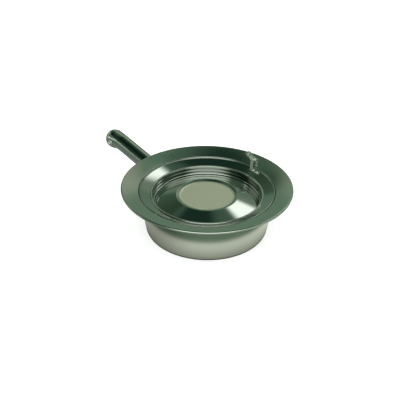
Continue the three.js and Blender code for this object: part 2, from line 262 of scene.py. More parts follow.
def fused(name, solids, place):
    """Solids that overlap, as one skin with small fillets where they meet."""
    mesh_data = bmesh.new()
    for add_solid in solids:
        add_solid(mesh_data)
    piece = finished(name, mesh_data)
    remesh = piece.modifiers.new("one_skin", "REMESH")
    remesh.mode = "VOXEL"
    remesh.voxel_size = FUSE_VOXEL
    smooth = piece.modifiers.new("soft_corners", "SMOOTH")
    smooth.factor = 0.5
    smooth.iterations = 4
    applied(piece)
    piece.data.transform(place)
    piece.data.shade_smooth()
    return piece


def prism(corners, side_low, side_high):
    """A function that adds a prism: (x, z) corners between two y values."""
    def add_solid(mesh_data):
        low = [mesh_data.verts.new((x, side_low, z)) for x, z in corners]
        high = [mesh_data.verts.new((x, side_high, z)) for x, z in corners]
        mesh_data.faces.new(low)
        mesh_data.faces.new(high[::-1])
        count = len(corners)
        for k in range(count):
            mesh_data.faces.new([low[k], high[k], high[(k + 1) % count], low[(k + 1) % count]])
    return add_solid


# ---- turned sheets --------------------------------------------------------------------------
def make_bowl():
    outside = rounded_path([
        (0, BOWL_FOOT, 0),
        (BASE_RADIUS, BOWL_FOOT, BASE_CORNER),
        (wall_radius(BOWL_HEIGHT), BOWL_HEIGHT, 0),
    ])
    inside = offset_path(outside, -SHEET)
    return turned("bowl_shell", outside + round_end(outside[-1], inside[-1]) + inside[::-1])


def make_seat_ring():
    wall_stack = (2 * SHEET + GAP) / math.cos(WALL_DRAFT)
    ledge_drop = (LID_SHEET + GAP) / math.cos(LID_SLOPE)
    throat_top = lid_top(wall_radius(BOWL_HEIGHT) - wall_stack) - ledge_drop
    tangent_radius = PAN_RADIUS - BEAD_RADIUS * (1 + math.sin(FLANGE_SLOPE))
    top = rounded_path([
        (wall_radius(THROAT_FOOT) - wall_stack, THROAT_FOOT, 0),
        (wall_radius(throat_top) - wall_stack, throat_top, THROAT_ROUNDING),
        (STEP_RADIUS, lid_top(STEP_RADIUS) - ledge_drop, LEDGE_ROUNDING),
        (STEP_RADIUS, flange_top(STEP_RADIUS), STEP_ROUNDING),
        (tangent_radius, flange_top(tangent_radius), 0),
    ])
    under = offset_path(top, SHEET)
    foot = round_end(under[0], top[0])
    under.pop()
    bead_start = math.pi / 2 + FLANGE_SLOPE
    bead_end = bead_start - 2 * math.pi + math.acos((BEAD_RADIUS - SHEET) / BEAD_RADIUS)
    bead = rolled_edge(Vector((PAN_RADIUS - BEAD_RADIUS, BEAD_HEIGHT)), BEAD_RADIUS, bead_start, bead_end)
    return turned("seat_flange", top + bead[1:] + under[::-1] + foot)


def wall_ridges():
    """The straight wall of the lid's plug, with the fine ridges that spinning leaves in it."""
    slant = (RIM_INSIDE - TROUGH_RADIUS) / (RIM_HEIGHT - TROUGH_HEIGHT)
    points_each = 8
    steps = RIDGES * points_each
    ridges = []
    for k in range(steps + 1):
        share = k / steps
        height = RIDGES_FOOT + (RIDGES_HEAD - RIDGES_FOOT) * share
        straight = TROUGH_RADIUS + slant * (height - TROUGH_HEIGHT)
        ridges.append((straight + RIDGE_DEPTH * math.sin(2 * math.pi * RIDGES * share), height, 0))
    return ridges


def make_lid():
    curl_rise = CURL_RADIUS - LID_SHEET
    curl_reach = LID_RADIUS - CURL_RADIUS
    curl_centre = Vector((curl_reach, lid_top(curl_reach) + curl_rise / math.cos(LID_SLOPE)))
    curl_start = math.pi + LID_SLOPE + math.asin(curl_rise / CURL_RADIUS)
    curl = rolled_edge(curl_centre, CURL_RADIUS, curl_start, LID_SLOPE - math.pi / 2)
    top = rounded_path([
        (0, DISH_FLOOR_HEIGHT, 0),
        (DISH_FLOOR_RADIUS, DISH_FLOOR_HEIGHT, DISH_FLOOR_ROUNDING),
        (DISH_RADIUS, DISH_RIM_HEIGHT, DISH_RIM_ROUNDING),
        (TROUGH_RADIUS, TROUGH_HEIGHT, TROUGH_ROUNDING),
        *wall_ridges(),
        (RIM_INSIDE, RIM_HEIGHT, RIM_ROUNDING),
        (RIM_OUTSIDE, RIM_HEIGHT, RIM_ROUNDING),
        (VALLEY_RADIUS, lid_top(VALLEY_RADIUS), VALLEY_ROUNDING),
        (curl[0].x, curl[0].y, 0),
    ])
    return turned("lid_pressing", top + curl[1:] + offset_path(top, LID_SHEET)[::-1])


# ---- handle ---------------------------------------------------------------------------------
def wall_start(direction, reach, distance):
    """Distance along the handle's axis where a line beside it leaves the bowl wall moved outward."""
    low, high = 60 * MM, 160 * MM
    halvings = 40
    for _ in range(halvings):
        middle = (low + high) / 2
        point = HANDLE_FRAME @ (Vector((middle, 0, 0)) + direction * reach)
        beyond = math.hypot(point.x, point.y) - wall_radius(point.z) - distance / math.cos(WALL_DRAFT)
        if beyond > 0:
            high = middle
        else:
            low = middle
    return high


def swell_at(along):
    """How far the handle has swelled into its round end: 0 on the shaft, 1 at the knob."""
    return smoothstep(along, KNOB_CENTRE - SWELL_LENGTH, KNOB_CENTRE)


def handle_section(along):
    """Radius of the handle's outside, and how far its middle hangs below the shaft's axis."""
    radius = HANDLE_RADIUS + (KNOB_RADIUS - HANDLE_RADIUS) * swell_at(along)
    if along > KNOB_CENTRE:
        radius = math.sqrt(max(KNOB_RADIUS ** 2 - (along - KNOB_CENTRE) ** 2, 0))
    return radius, KNOB_DROP * swell_at(along)


def handle_stations():
    """Places along the handle past its root, closer together toward its round end."""
    shaft_steps, swell_steps, cap_steps = 48, 24, 20
    swell_start = KNOB_CENTRE - SWELL_LENGTH
    shaft = [SHAFT_START + (swell_start - SHAFT_START) * k / shaft_steps for k in range(shaft_steps)]
    swell = [swell_start + SWELL_LENGTH * k / swell_steps for k in range(swell_steps)]
    cap = [KNOB_CENTRE + KNOB_RADIUS * math.sin(math.pi / 2 * k / cap_steps) for k in range(cap_steps)]
    return shaft + swell + cap


def make_handle_shell(name, side):
    """One pressed shell: the part of the handle above the seam (side 1) or below it (side -1)."""
    columns, root_steps = 112, 6
    stations = handle_stations()
    mesh_data = bmesh.new()
    rows = []
    for column in range(columns):
        angle = 2 * math.pi * column / columns
        direction = Vector((0, math.cos(angle), math.sin(angle)))
        start = wall_start(direction, HANDLE_RADIUS, 2 * GAP + SHEET)
        root = [start + (stations[0] - start) * k / root_steps for k in range(root_steps)]
        line = []
        for along in root + stations:
            radius, drop = handle_section(along)
            line.append(mesh_data.verts.new(Vector((along, 0, -drop)) + direction * radius))
        rows.append(line)
    tip = mesh_data.verts.new((HANDLE_LENGTH, 0, -KNOB_DROP))
    for left, right in zip(rows, rows[1:] + rows[:1]):
        for k in range(len(left) - 1):
            mesh_data.faces.new([left[k], right[k], right[k + 1], left[k + 1]])
        mesh_data.faces.new([left[-1], right[-1], tip])
    level = SEAM_HEIGHT + side * SEAM_HALF_GAP
    everything = mesh_data.verts[:] + mesh_data.edges[:] + mesh_data.faces[:]
    bmesh.ops.bisect_plane(
        mesh_data, geom=everything, plane_co=(0, 0, level), plane_no=(0, 0, side), clear_inner=True)
    shell = finished(name, mesh_data, place=HANDLE_FRAME)
    thicken = shell.modifiers.new("sheet", "SOLIDIFY")
    thicken.thickness = SHEET
    thicken.offset = -1
    return applied(shell)


def across_hole():
    """The frame of the hanging hole: its Z runs across the handle."""
    _, drop = handle_section(HOLE_PLACE)
    return Matrix.Translation((HOLE_PLACE, 0, -drop)) @ Matrix.Rotation(math.pi / 2, 4, "X")


def drill_knob(shell):
    """Cuts the hanging hole across the handle's round end."""
    mesh_data = bmesh.new()
    clearance = 0.1 * MM
    radius, reach = HOLE_RADIUS + EYELET_WALL + clearance, 2 * KNOB_RADIUS
    outline = [Vector(point) for point in ((0, -reach), (radius, -reach), (radius, reach), (0, reach))]
    revolve(mesh_data, outline, 48, across_hole())
    drill = finished("drill", mesh_data, place=HANDLE_FRAME)
    cut = shell.modifiers.new("hanging_hole", "BOOLEAN")
    cut.operation = "DIFFERENCE"
    cut.object = drill
    bpy.context.view_layer.update()
    applied(shell)
    shell.data.set_sharp_from_angle(angle=math.radians(35))
    bpy.data.objects.remove(drill)
    return shell


def make_under_shell():
    return drill_knob(make_handle_shell("handle_under_shell", -1))


def skin_loops(mesh_data, loops):
    """Joins closed loops of vertices to each other, and the last one back to the first."""
    for loop, following in zip(loops, loops[1:] + loops[:1]):
        for k in range(len(loop)):
            other = (k + 1) % len(loop)
            mesh_data.faces.new([loop[k], loop[other], following[other], following[k]])


def make_eyelet():
    """The tube through the round end, with a lip on each side that follows the shell."""
    tube, lift_off, shoulder = HOLE_RADIUS + EYELET_WALL, 0.05 * MM, 0.75 * LIP_THICKNESS
    lip = [
        (tube, lift_off), (LIP_RADIUS - 0.1 * MM, lift_off), (LIP_RADIUS, 0.3 * MM),
        (LIP_RADIUS - 0.25 * MM, shoulder), (LIP_RADIUS - 0.8 * MM, LIP_THICKNESS),
        (HOLE_RADIUS + 0.9 * MM, LIP_THICKNESS), (HOLE_RADIUS + 0.3 * MM, shoulder),
        (HOLE_RADIUS, 2 * lift_off)]
    steps = 72
    mesh_data = bmesh.new()
    loops = []
    middle = -handle_section(HOLE_PLACE)[1]
    for step in range(steps):
        turn = 2 * math.pi * step / steps
        side = []
        for reach, lift in lip:
            along, level = HOLE_PLACE + reach * math.cos(turn), middle + reach * math.sin(turn)
            radius, drop = handle_section(along)
            side.append((along, math.sqrt(radius ** 2 - (level + drop) ** 2) + lift, level))
        other_side = [(along, -out, level) for along, out, level in reversed(side)]
        loops.append([mesh_data.verts.new(point) for point in side + other_side])
    skin_loops(mesh_data, loops)
    return finished("hanging_eyelet", mesh_data, 50, HANDLE_FRAME)


def seam_points():
    """Points of the seam and the outward directions there, from the root out, round and back."""
    shaft = [place for place in handle_stations() if place < KNOB_CENTRE]
    lean = math.asin(SEAM_HEIGHT / HANDLE_RADIUS)
    root = wall_start(Vector((0, math.cos(lean), math.sin(lean))), HANDLE_RADIUS, GAP + SHEET)
    out = []
    for along in [root] + shaft:
        radius, drop = handle_section(along)
        rise = (SEAM_HEIGHT + drop) / radius
        direction = Vector((0, math.sqrt(1 - rise ** 2), rise))
        out.append((Vector((along, 0, -drop)) + direction * radius, direction))
    middle = Vector((KNOB_CENTRE, 0, -KNOB_DROP))
    height = SEAM_HEIGHT + KNOB_DROP
    reach = math.sqrt(KNOB_RADIUS ** 2 - height ** 2)
    turn = []
    steps = 40
    for k in range(steps + 1):
        angle = math.pi * k / steps
        spot = Vector((reach * math.sin(angle), reach * math.cos(angle), height))
        turn.append((middle + spot, spot.normalized()))
    back = [(Vector((p.x, -p.y, p.z)), Vector((d.x, -d.y, d.z))) for p, d in reversed(out)]
    return out + turn + back


def make_seam_bead():
    """The low weld bead along the seam of the two shells."""
    size, sides, sunk = SEAM_BEAD_RADIUS, 12, 0.45
    seam = seam_points()
    mesh_data = bmesh.new()
    loops = []
    for i, (point, outward) in enumerate(seam):
        before, after = seam[max(i - 1, 0)][0], seam[min(i + 1, len(seam) - 1)][0]
        sideways = (after - before).cross(outward).normalized()
        middle = point - outward * (sunk * size)
        turns = [2 * math.pi * k / sides for k in range(sides)]
        loops.append([
            mesh_data.verts.new(middle + (outward * math.cos(turn) + sideways * math.sin(turn)) * size)
            for turn in turns])
    for loop, following in zip(loops, loops[1:]):
        for k in range(sides):
            other = (k + 1) % sides
            mesh_data.faces.new([loop[k], loop[other], following[other], following[k]])
    mesh_data.faces.new(loops[0])
    mesh_data.faces.new(loops[-1])
    return finished("handle_seam_bead", mesh_data, 60, HANDLE_FRAME)


def make_root_plate():
    """The round saddle plate between the bowl wall and the handle."""
    mesh_data = bmesh.new()
    spokes, rings, bevel = 96, 14, 0.5 * MM
    skins = []
    for distance, shrink in ((GAP, 0), (GAP + SHEET, bevel)):
        grid = []
        for ring in range(1, rings + 1):
            reach = (ROOT_PLATE_RADIUS - shrink) * ring / rings
            circle = []
            for spoke in range(spokes):
                angle = 2 * math.pi * spoke / spokes
                direction = Vector((0, math.cos(angle), math.sin(angle)))
                along = wall_start(direction, reach, distance)
                circle.append(mesh_data.verts.new(Vector((along, 0, 0)) + direction * reach))
            grid.append(circle)
        centre = mesh_data.verts.new((wall_start(Vector((0, 1, 0)), 0, distance), 0, 0))
        skins.append((grid, centre))
    for grid, centre in skins:
        for spoke in range(spokes):
            following = (spoke + 1) % spokes
            mesh_data.faces.new([centre, grid[0][spoke], grid[0][following]])
            for inner, outer in zip(grid, grid[1:]):
                mesh_data.faces.new([inner[spoke], outer[spoke], outer[following], inner[following]])
    back, front = skins[0][0][-1], skins[1][0][-1]
    for spoke in range(spokes):
        following = (spoke + 1) % spokes
        mesh_data.faces.new([back[spoke], front[spoke], front[following], back[following]])
    return finished("handle_saddle", mesh_data, place=HANDLE_FRAME)


def make_root_weld():
    """The weld bead round the handle where it meets the saddle plate."""
    mesh_data = bmesh.new()
    steps, sides, shift = 180, 10, 0.2 * MM
    reach = HANDLE_RADIUS + shift
    outward = Vector((1, 0, 0))
    loops = []
    for step in range(steps):
        angle = 2 * math.pi * step / steps
        direction = Vector((0, math.cos(angle), math.sin(angle)))
        size = WELD_RADIUS * (1 + 0.1 * math.sin(WELD_RIPPLES * angle))
        along = wall_start(direction, reach, GAP + SHEET) + shift
        centre = Vector((along, 0, 0)) + direction * reach
        turns = [2 * math.pi * side / sides for side in range(sides)]
        loops.append([
            mesh_data.verts.new(centre + (direction * math.cos(turn) + outward * math.sin(turn)) * size)
            for turn in turns])
    skin_loops(mesh_data, loops)
    return finished("handle_weld", mesh_data, 80, HANDLE_FRAME)


# ---- hinge ----------------------------------------------------------------------------------
def eye_solid(side_low, side_high):
    """A function that adds a ring about the hinge pin between two y values."""
    def add_solid(mesh_data):
        hole = PIN_RADIUS + GAP * 0.6
        outline = [Vector(p) for p in (
            (hole, side_low), (KNUCKLE_RADIUS, side_low), (KNUCKLE_RADIUS, side_high), (hole, side_high))]
        place = Matrix.Translation((PIN_REACH, 0, PIN_HEIGHT)) @ Matrix.Rotation(-math.pi / 2, 4, "X")
        revolve(mesh_data, outline, SMALL_FACETS, place)
    return add_solid


def plate_solid(height_at, outline):
    """A function that adds a sheet lying on a turned surface, with an outline of (x, y) points."""
    def add_solid(mesh_data):
        flat = bmesh.new()
        corners = [flat.verts.new((x, y, 0)) for x, y in outline]
        flat.faces.new(corners)
        lowest = min(y for _, y in outline)
        highest = max(y for _, y in outline)
        cuts = 16
        for k in range(1, cuts):
            level = lowest + (highest - lowest) * k / cuts
            geometry = flat.verts[:] + flat.edges[:] + flat.faces[:]
            bmesh.ops.bisect_plane(flat, geom=geometry, plane_co=(0, level, 0), plane_no=(0, 1, 0))
        flat.verts.index_update()
        skins = []
        for lift in (GAP, GAP + SHEET):
            made = {}
            for vert in flat.verts:
                x, y = vert.co.x, vert.co.y
                made[vert.index] = mesh_data.verts.new((x, y, height_at(math.hypot(x, y)) + lift))
            skins.append(made)
        for face in flat.faces:
            for made in skins:
                mesh_data.faces.new([made[vert.index] for vert in face.verts])
        for edge in flat.edges:
            if edge.is_boundary:
                a, b = (vert.index for vert in edge.verts)
                mesh_data.faces.new([skins[0][a], skins[0][b], skins[1][b], skins[1][a]])
        flat.free()
    return add_solid


def bar_solid(start, end, width_start, width_end, thickness):
    """A function that adds a flat bar between two points, with its width kept parallel to y."""
    def add_solid(mesh_data):
        along = Vector(end) - Vector(start)
        through = Vector((-along.z, 0, along.x)).normalized() * (thickness / 2)
        rings = []
        for place, width in ((start, width_start), (end, width_end)):
            side = Vector((0, width / 2, 0))
            corners = [-side - through, side - through, side + through, -side + through]
            rings.append([mesh_data.verts.new(Vector(place) + corner) for corner in corners])
        mesh_data.faces.new(rings[0])
        mesh_data.faces.new(rings[1][::-1])
        for k in range(4):
            other = (k + 1) % 4
            mesh_data.faces.new([rings[0][k], rings[1][k], rings[1][other], rings[0][other]])
    return add_solid


def rounded_outline(corners, radius):
    """A closed outline with every corner rounded."""
    inner = [(x, y, radius) for x, y in corners]
    path = rounded_path([(*corners[-1], 0), *inner, (*corners[0], 0)])
    return path[1:-1]


def make_strap():
    def on_slope(radius, y):
        return (math.sqrt(radius ** 2 - y ** 2), y)
    (low, high), (side_low, side_high) = STRAP_SPAN, STRAP_SIDES
    steps = 8
    sides = [side_low + (side_high - side_low) * k / steps for k in range(steps + 1)]
    edge = [on_slope(high, y) for y in sides] + [on_slope(low, y) for y in reversed(sides)]
    plate = plate_solid(lid_top, edge)
    plate_middle = lid_top(112.3 * MM) + GAP + SHEET / 2
    root = (111.9 * MM, -9.3 * MM, plate_middle)
    tip = (PIN_REACH - 2.8 * MM, -0.4 * MM, PIN_HEIGHT - 0.2 * MM)
    neck = bar_solid(root, tip, NECK_WIDTH, NECK_WIDTH + 0.6 * MM, NECK_THICKNESS)
    half = KNUCKLE_WIDTH / 2
    return fused("lid_strap", [plate, neck, eye_solid(-half, half)], HINGE_FRAME)


def make_bracket():
    ear_inside = KNUCKLE_WIDTH / 2 + GAP
    ear_outside = ear_inside + EAR_THICKNESS
    foot_low, foot_high = BRACKET_FOOT
    heading = Vector((math.cos(BRACKET_HEADING), math.sin(BRACKET_HEADING)))
    side = Vector((-heading.y, heading.x))
    tip = Vector((132.5 * MM, 3.5 * MM)) + heading * BRACKET_REACH
    inner_tip, outer_tip = tip + side * (4.6 * MM), tip - side * (5.3 * MM)
    outline = rounded_outline([
        (foot_low, -ear_outside), (foot_high, -ear_outside), (foot_high, 2.0 * MM),
        tuple(outer_tip), tuple(inner_tip), (foot_low, 8.0 * MM)], BRACKET_ROUNDING)
    foot = plate_solid(flange_top, outline)
    root = flange_top(134 * MM) + GAP + 0.4 * MM
    solids = [foot]
    for side_low in (-ear_outside, ear_inside):
        solids.append(eye_solid(side_low, side_low + EAR_THICKNESS))
        web = [
            (136.6 * MM, root + 0.9 * MM), (131.4 * MM, root - 0.5 * MM),
            (126.4 * MM, PIN_HEIGHT - 2.6 * MM), (126.9 * MM, PIN_HEIGHT - 2.0 * MM),
            (128.6 * MM, PIN_HEIGHT - 1.9 * MM), (130.0 * MM, PIN_HEIGHT - 0.6 * MM),
            (129.6 * MM, PIN_HEIGHT + 2.6 * MM), (131.0 * MM, PIN_HEIGHT + 1.4 * MM)]
        solids.append(prism(web, side_low, side_low + EAR_THICKNESS))
    return fused("flange_bracket", solids, HINGE_FRAME)


def rivet_place(radius, y, height_at, slope):
    x = math.sqrt(radius ** 2 - y ** 2)
    tilt = Matrix.Rotation(math.atan2(y, x), 4, "Z") @ Matrix.Rotation(-slope, 4, "Y")
    return HINGE_FRAME @ Matrix.Translation((x, y, height_at(radius))) @ tilt


def make_rivet(name, place, sheet, head_radius):
    """A domed rivet: a low head on the plate, a shank and a flatter closing head below."""
    plate_top = GAP + SHEET + 0.02 * MM
    below = -sheet - 0.15 * MM
    closing_height = 0.7 * RIVET_HEAD_HEIGHT
    rise = [math.pi / 2 * k / 8 for k in range(8)]
    dome = [Vector((head_radius * math.cos(a), plate_top + RIVET_HEAD_HEIGHT * math.sin(a))) for a in rise]
    dome.append(Vector((0, plate_top + RIVET_HEAD_HEIGHT)))
    close = [Vector((head_radius * math.cos(a), below - closing_height * math.sin(a))) for a in rise]
    close.append(Vector((0, below - closing_height)))
    shank = [Vector((RIVET_RADIUS, below)), Vector((RIVET_RADIUS, plate_top))]
    return turned(name, close[::-1] + shank + dome, SMALL_FACETS, 50, place)


def make_pin():
    neck = KNUCKLE_WIDTH / 2 + 2 * GAP + EAR_THICKNESS
    crown = neck + PIN_HEAD_HEIGHT
    top = rounded_path([
        (PIN_RADIUS, neck, 0),
        (PIN_HEAD_RADIUS, neck, 0.15 * MM),
        (PIN_HEAD_RADIUS, neck + 0.7 * MM, 0.5 * MM),
        (PIN_HEAD_RADIUS / 2, crown, 0.5 * MM),
        (0, crown, 0),
    ])
    bottom = [Vector((p.x, -p.y)) for p in top[::-1]]
    place = Matrix.Translation((PIN_REACH, 0, PIN_HEIGHT)) @ Matrix.Rotation(-math.pi / 2, 4, "X")
    return turned("hinge_pin_steel", bottom + top, SMALL_FACETS, 50, HINGE_FRAME @ place)


# ---- materials ------------------------------------------------------------------------------
# Colours of the lid's matt centre. They are painted light: much paler and warmer than the lid's steel,
# standing in for the light the matt centre gathers and offsetting the green room.
PAINTED_LIGHT_CENTRE_COLORS = ((0.90, 0.83, 0.73), (0.98, 0.91, 0.81))
SATIN_ROUGHNESS = (0.40, 0.48)
SATIN_FADE = 1.5 * MM
MARK_DEPTH = 0.02 * MM


class Nodes:
    """Short calls for building a material's node tree."""

    def __init__(self, name):
        self.material = bpy.data.materials.new(name)
        self.material.use_nodes = True
        self.tree = self.material.node_tree
        self.shader = self.tree.nodes["Principled BSDF"]

    def add(self, kind, **settings):
        node = self.tree.nodes.new(kind)
        for key, value in settings.items():
            setattr(node, key, value)
        return node

    def link(self, source, target):
        self.tree.links.new(source, target)

    def math(self, operation, first, second=None):
        """A math node on sockets or numbers."""
        node = self.add("ShaderNodeMath", operation=operation)
        for socket, value in zip(node.inputs, (first, second)):
            if value is None:
                continue
            if isinstance(value, (int, float)):
                socket.default_value = value
            else:
                self.link(value, socket)
        return node.outputs[0]

    def noise(self, vector, scale, detail=2.0):
        node = self.add("ShaderNodeTexNoise")
        node.inputs["Scale"].default_value = scale
        node.inputs["Detail"].default_value = detail
        self.link(vector, node.inputs["Vector"])
        return node.outputs["Fac"]

    def blend(self, factor, low, high):
        node = self.add("ShaderNodeMix", data_type="RGBA")
        self.link(factor, node.inputs["Factor"])
        node.inputs["A"].default_value = (*low, 1)
        node.inputs["B"].default_value = (*high, 1)
        return node.outputs["Result"]

    def mix(self, factor, low, high, kind="RGBA"):
        node = self.add("ShaderNodeMix", data_type=kind)
        self.link(factor, node.inputs["Factor"])
        numbers = [socket for socket in node.inputs if socket.enabled]
        self.link(low, numbers[1])
        self.link(high, numbers[2])
        return [socket for socket in node.outputs if socket.enabled][0]

    def map_range(self, value, start, end, low, high, kind="LINEAR"):
        """A value taken from the span start to end to the span low to high."""
        node = self.add("ShaderNodeMapRange", interpolation_type=kind)
        node.inputs["From Min"].default_value = start
        node.inputs["From Max"].default_value = end
        node.inputs["To Min"].default_value = low
        node.inputs["To Max"].default_value = high
        self.link(value, node.inputs["Value"])
        return node.outputs["Result"]

    def parts(self, vector):
        node = self.add("ShaderNodeSeparateXYZ")
        self.link(vector, node.inputs[0])
        return node.outputs

    def radius(self, x, y):
        return self.math("SQRT", self.math("ADD", self.math("MULTIPLY", x, x), self.math("MULTIPLY", y, y)))

    def inside(self, place, radius, fade):
        """One inside a radius about Z and nothing outside it."""
        x, y, _ = self.parts(place)
        return self.map_range(self.radius(x, y), radius - fade, radius, 1.0, 0.0, "SMOOTHSTEP")

    def spread(self, factor, low, high):
        """A noise value, which stays near a half, as a value between low and high."""
        return self.map_range(factor, 0.3, 0.7, low, high)


def turned_grain(nodes, place):
    """Coordinates that run fast across the turning marks and slowly along them."""
    x, y, z = nodes.parts(place)
    angle = nodes.math("ARCTAN2", y, x)
    grain = nodes.add("ShaderNodeCombineXYZ")
    nodes.link(nodes.math("MULTIPLY", nodes.radius(x, y), 1000.0), grain.inputs[0])
    nodes.link(nodes.math("MULTIPLY", angle, 0.6), grain.inputs[1])
    nodes.link(nodes.math("MULTIPLY", z, 1000.0), grain.inputs[2])
    return grain.outputs[0]


def long_grain(nodes, place):
    """Coordinates that run slowly along the handle, for polishing marks."""
    level = nodes.add("ShaderNodeVectorRotate", rotation_type="Y_AXIS")
    level.inputs["Angle"].default_value = -HANDLE_RISE
    nodes.link(place, level.inputs["Vector"])
    stretch = nodes.add("ShaderNodeMapping")
    stretch.inputs["Scale"].default_value = (40, 1000, 1000)
    nodes.link(level.outputs[0], stretch.inputs["Vector"])
    return stretch.outputs[0]


def steel(name, light, dark, roughness, grain="turned", anisotropy=0.0, marks=0.08, matt_and_painted_light_radius=0):
    """Brushed steel, matt inside the centre radius, where its pale, warm colour is painted light."""
    nodes = Nodes(name)
    place = nodes.add("ShaderNodeTexCoord").outputs["Object"]
    grain_place = turned_grain(nodes, place) if grain == "turned" else long_grain(nodes, place)
    clouds = nodes.noise(place, 16.0, 4.0)
    lines = nodes.noise(grain_place, 2.2, 3.0)
    tone = nodes.math("ADD", nodes.math("MULTIPLY", clouds, 0.6), nodes.math("MULTIPLY", lines, 0.4))
    shader = nodes.shader
    color = nodes.blend(tone, dark, light)
    gloss = nodes.spread(tone, roughness * 0.85, roughness * 1.15)
    if matt_and_painted_light_radius:
        # Painted light: inside the centre radius the steel gets a paler, warmer colour. Its matt roughness
        # there is real.
        matt_centre_and_painted_light = nodes.inside(place, matt_and_painted_light_radius, SATIN_FADE)
        color = nodes.mix(matt_centre_and_painted_light, color, nodes.blend(tone, *PAINTED_LIGHT_CENTRE_COLORS))
        gloss = nodes.mix(matt_centre_and_painted_light, gloss, nodes.spread(tone, *SATIN_ROUGHNESS), "FLOAT")
    nodes.link(color, shader.inputs["Base Color"])
    nodes.link(gloss, shader.inputs["Roughness"])
    shader.inputs["Metallic"].default_value = 1.0
    shader.inputs["Anisotropic"].default_value = anisotropy
    if anisotropy > 0:
        tangent = nodes.add("ShaderNodeTangent", direction_type="RADIAL", axis="Z")
        nodes.link(tangent.outputs[0], shader.inputs["Tangent"])
    bump = nodes.add("ShaderNodeBump")
    bump.inputs["Strength"].default_value = marks
    bump.inputs["Distance"].default_value = MARK_DEPTH
    nodes.link(lines, bump.inputs["Height"])
    nodes.link(bump.outputs[0], shader.inputs["Normal"])
    return nodes.material


def finish_with(piece, material):
    piece.data.materials.clear()
    piece.data.materials.append(material)


# ---- studio ---------------------------------------------------------------------------------
CAMERA_AZIMUTH = math.radians(47)
CAMERA_ELEVATION = math.radians(32.05)
CAMERA_ROLL = 0.01807
CAMERA_DISTANCE = 1.3
CAMERA_TARGET = Vector((0, 0, 38.1 * MM))
SENSOR = 36
LENS = 65.8773
LENS_SHIFT = (-0.016875, 0.02225)
FLOOR_RADIUS = 6
FLOOR_GLOW = 0.8
OVERHEAD_HEIGHT = 2.2
OVERHEAD_SIZE = 2.6
OVERHEAD_POWER = 75
PAINTED_REFLECTION_RADIUS = 1.5
KEY_AZIMUTH = 58.5
KEY_ELEVATION = 42.8
KEY_DISTANCE = 4.0
KEY_HALF_WIDTH = (0.27, 0.57)
KEY_HALF_HEIGHT = (0.42, 0.86)
KEY_COLOR = (1.0, 1.0, 0.96)
KEY_STRENGTH = 2.2
KEY_PANEL_RADIUS = 1.1


def make_camera():
    data = bpy.data.cameras.new("camera")
    camera = bpy.data.objects.new("camera", data)
    bpy.context.scene.collection.objects.link(camera)
    level = math.cos(CAMERA_ELEVATION)
    ahead = (math.sin(CAMERA_AZIMUTH) * level, -math.cos(CAMERA_AZIMUTH) * level)
    back = Vector((*ahead, math.sin(CAMERA_ELEVATION)))
    camera.location = CAMERA_TARGET + back * CAMERA_DISTANCE
    aim = (-back).to_track_quat("-Z", "Y")
    camera.rotation_mode = "QUATERNION"
    camera.rotation_quaternion = aim @ Quaternion((0, 0, 1), CAMERA_ROLL)
    data.sensor_width = SENSOR
    data.lens = LENS
    data.shift_x, data.shift_y = LENS_SHIFT
    bpy.context.scene.camera = camera


def studio_direction(azimuth, elevation):
    """A unit vector: azimuth in degrees from the picture's right-hand side, elevation above the floor."""
    turn, rise = math.radians(azimuth) + CAMERA_AZIMUTH, math.radians(elevation)
    return Vector((math.cos(turn) * math.cos(rise), math.sin(turn) * math.cos(rise), math.sin(rise)))


def make_overhead_panel():
    """A broad panel above that lights the floor and draws the soft shadow; the steel doesn't show it."""
    data = bpy.data.lights.new("overhead_panel", "AREA")
    data.shape = "DISK"
    data.size = OVERHEAD_SIZE
    data.energy = OVERHEAD_POWER
    panel = bpy.data.objects.new("overhead_panel", data)
    panel.location = (0, 0, OVERHEAD_HEIGHT)
    panel.visible_glossy = False
    bpy.context.scene.collection.objects.link(panel)


def flat_disc(name, radius, place):
    mesh_data = bmesh.new()
    bmesh.ops.create_circle(mesh_data, cap_ends=True, segments=96, radius=radius)
    disc = finished(name, mesh_data, place=place)
    return disc


def make_floor():
    floor = flat_disc("floor", FLOOR_RADIUS, Matrix.Identity(4))
    floor.visible_glossy = False
    nodes = Nodes("pale_floor")
    place = nodes.add("ShaderNodeTexCoord").outputs["Object"]
    pale = nodes.blend(nodes.noise(place, 3.0), (0.34, 0.34, 0.34), (0.36, 0.36, 0.36))
    nodes.link(pale, nodes.shader.inputs["Base Color"])
    nodes.shader.inputs["Emission Color"].default_value = (1, 1, 1, 1)
    nodes.shader.inputs["Emission Strength"].default_value = FLOOR_GLOW
    nodes.shader.inputs["Roughness"].default_value = 0.9
    nodes.shader.inputs["Specular IOR Level"].default_value = 0.0
    finish_with(floor, nodes.material)


